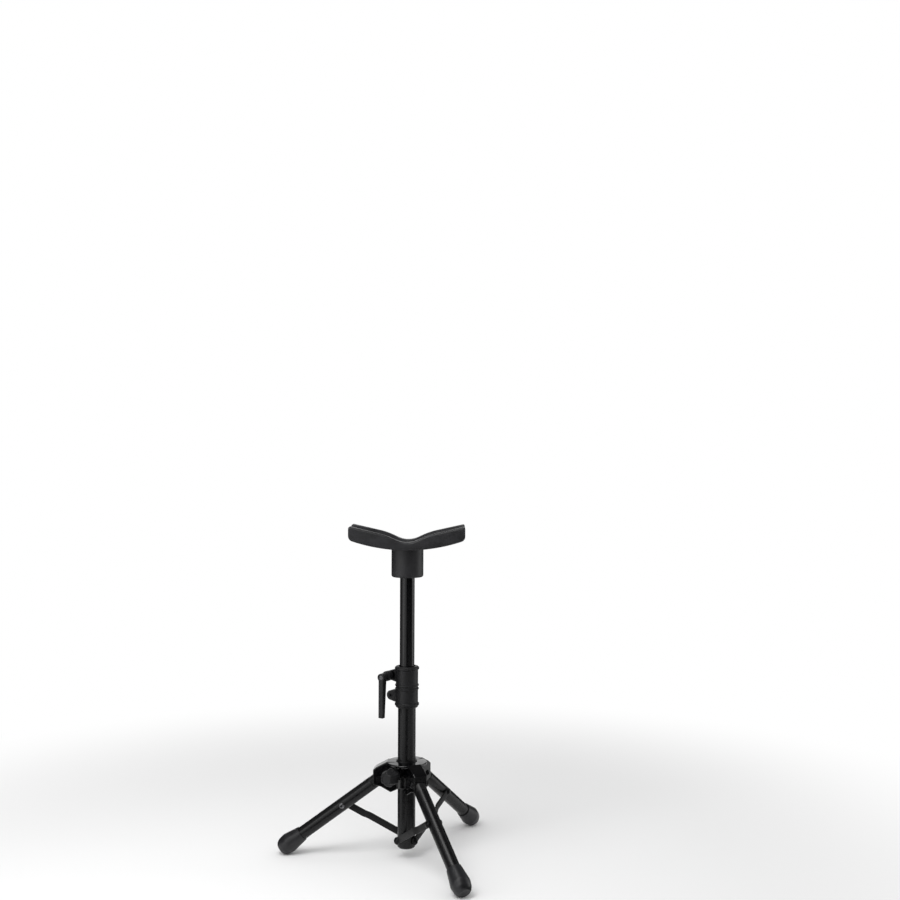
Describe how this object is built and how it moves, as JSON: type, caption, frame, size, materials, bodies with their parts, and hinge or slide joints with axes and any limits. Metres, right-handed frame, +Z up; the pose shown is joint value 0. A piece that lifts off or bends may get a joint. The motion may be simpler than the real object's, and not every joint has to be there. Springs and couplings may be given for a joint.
{
  "type": "tuba stand",
  "caption": "Folding black tripod stand with a sliding post, clamp lever, folding braced legs, rubber feet and a shaped saddle that carries a tuba upright.",
  "frame": {"origin": "on the post's axis at floor level, under the middle of the tripod", "axes": "+Z up along the post, +X to the right and -Y towards the front of the saddle"},
  "size_m": [0.3485, 0.3855, 0.5598],
  "materials": {
    "powder_coat": "satin black powder coat on steel tube",
    "hub_nylon": "glossy black moulded nylon",
    "clamp_nylon": "fine matte black moulded nylon",
    "saddle_moulding": "matte charcoal soft-touch moulding",
    "foot_rubber": "matte dark grey rubber",
    "black_steel": "blackened steel screws and pins",
    "zinc_steel": "bright zinc-plated steel",
    "bush_nylon": "plain black nylon"
  },
  "bodies": {
    "post": {"lower_tube": "powder_coat", "tube_end_plug": "bush_nylon", "brace_pins": "black_steel", "clamp_collar": "clamp_nylon", "clamp_liner": "bush_nylon", "collar_screw": "black_steel", "collar_nut": "zinc_steel", "clamp_nut": "zinc_steel"},
    "guide": {"rod_guide_bush": "bush_nylon"},
    "rod": {"upper_rod": "powder_coat", "rod_top_plug": "bush_nylon", "saddle": "saddle_moulding", "saddle_bolt": "black_steel", "saddle_washer": "black_steel"},
    "lever_core": {"clamp_stud": "zinc_steel", "lever_washer": "black_steel", "lever_insert": "black_steel", "lever_screw": "zinc_steel", "lever_spring": "zinc_steel"},
    "lever": {"lever_handle": "clamp_nylon"},
    "hub": {"hub": "hub_nylon", "hub_bush": "bush_nylon", "leg_pivot_bolts": "black_steel", "leg_pivot_nuts": "black_steel", "knob_pad": "bush_nylon"},
    "knob": {"hub_knob": "clamp_nylon", "knob_stud": "zinc_steel"},
    "leg_1": {"leg_1_tube": "powder_coat", "leg_1_plug": "bush_nylon", "leg_1_rivet": "zinc_steel", "foot_1": "foot_rubber"},
    "brace_1": {"brace_1": "powder_coat", "brace_1_rivet_head": "black_steel"},
    "leg_2": {"leg_2_tube": "powder_coat", "leg_2_plug": "bush_nylon", "leg_2_rivet": "zinc_steel", "foot_2": "foot_rubber"},
    "brace_2": {"brace_2": "powder_coat", "brace_2_rivet_head": "black_steel"},
    "leg_3": {"leg_3_tube": "powder_coat", "leg_3_plug": "bush_nylon", "leg_3_rivet": "zinc_steel", "foot_3": "foot_rubber"},
    "brace_3": {"brace_3": "powder_coat", "brace_3_rivet_head": "black_steel"}
  },
  "joints": [
    {"name": "rod_slide", "type": "slide", "parent": "post", "child": "guide", "axis": [0, 0, 1], "range_m": [-0.125, 0.085]},
    {"name": "rod_turn", "type": "hinge", "parent": "guide", "child": "rod", "pos_m": [0, 0, 0.50298], "axis": [0, 0, 1], "continuous": true},
    {"name": "lever_turn", "type": "hinge", "parent": "post", "child": "lever_core", "pos_m": [-0.02364, 0.01365, 0.30528], "axis": [-0.5, -0.866, 0], "range_deg": [0, 300]},
    {"name": "lever_pull", "type": "slide", "parent": "lever_core", "child": "lever", "axis": [-0.5, -0.866, 0], "range_m": [0, 0.004], "stiffness_N_per_m": 900, "springref_m": -0.004, "deforming": ["lever_spring"]},
    {"name": "hub_slide", "type": "slide", "parent": "post", "child": "hub", "axis": [0, 0, 1], "range_m": [0, 0.085]},
    {"name": "knob_turn", "type": "hinge", "parent": "hub", "child": "knob", "pos_m": [-0.02745, -0.04179, 0.14348], "axis": [-0.549, -0.8358, 0], "range_deg": [0, 360]},
    {"name": "leg_1_fold", "type": "hinge", "parent": "hub", "child": "leg_1", "pos_m": [-0.04492, 0.00259, 0.13288], "axis": [-0.0576, -0.9983, 0], "range_deg": [0, 47.92]},
    {"name": "leg_2_fold", "type": "hinge", "parent": "hub", "child": "leg_2", "pos_m": [0.02022, -0.0402, 0.13288], "axis": [0.8934, 0.4493, 0], "range_deg": [0, 47.92]},
    {"name": "leg_3_fold", "type": "hinge", "parent": "hub", "child": "leg_3", "pos_m": [0.02471, 0.03761, 0.13288], "axis": [-0.8358, 0.549, 0], "range_deg": [0, 47.92]},
    {"name": "brace_1_fold", "type": "hinge", "parent": "post", "child": "brace_1", "pos_m": [0, 0, 0.02848], "axis": [0.0576, 0.9983, 0], "range_deg": [0, 36.61]},
    {"name": "brace_2_fold", "type": "hinge", "parent": "post", "child": "brace_2", "pos_m": [0, 0, 0.02848], "axis": [-0.8934, -0.4493, 0], "range_deg": [0, 36.61]},
    {"name": "brace_3_fold", "type": "hinge", "parent": "post", "child": "brace_3", "pos_m": [0, 0, 0.02848], "axis": [0.8358, -0.549, 0], "range_deg": [0, 36.61]}
  ],
  "couplings": [
    {"joint": "leg_1_fold", "follows": "hub_slide", "rad_per_m": 9.8393},
    {"joint": "leg_2_fold", "follows": "hub_slide", "rad_per_m": 9.8393},
    {"joint": "leg_3_fold", "follows": "hub_slide", "rad_per_m": 9.8393},
    {"joint": "brace_1_fold", "follows": "hub_slide", "rad_per_m": 7.5163},
    {"joint": "brace_2_fold", "follows": "hub_slide", "rad_per_m": 7.5163},
    {"joint": "brace_3_fold", "follows": "hub_slide", "rad_per_m": 7.5163}
  ]
}
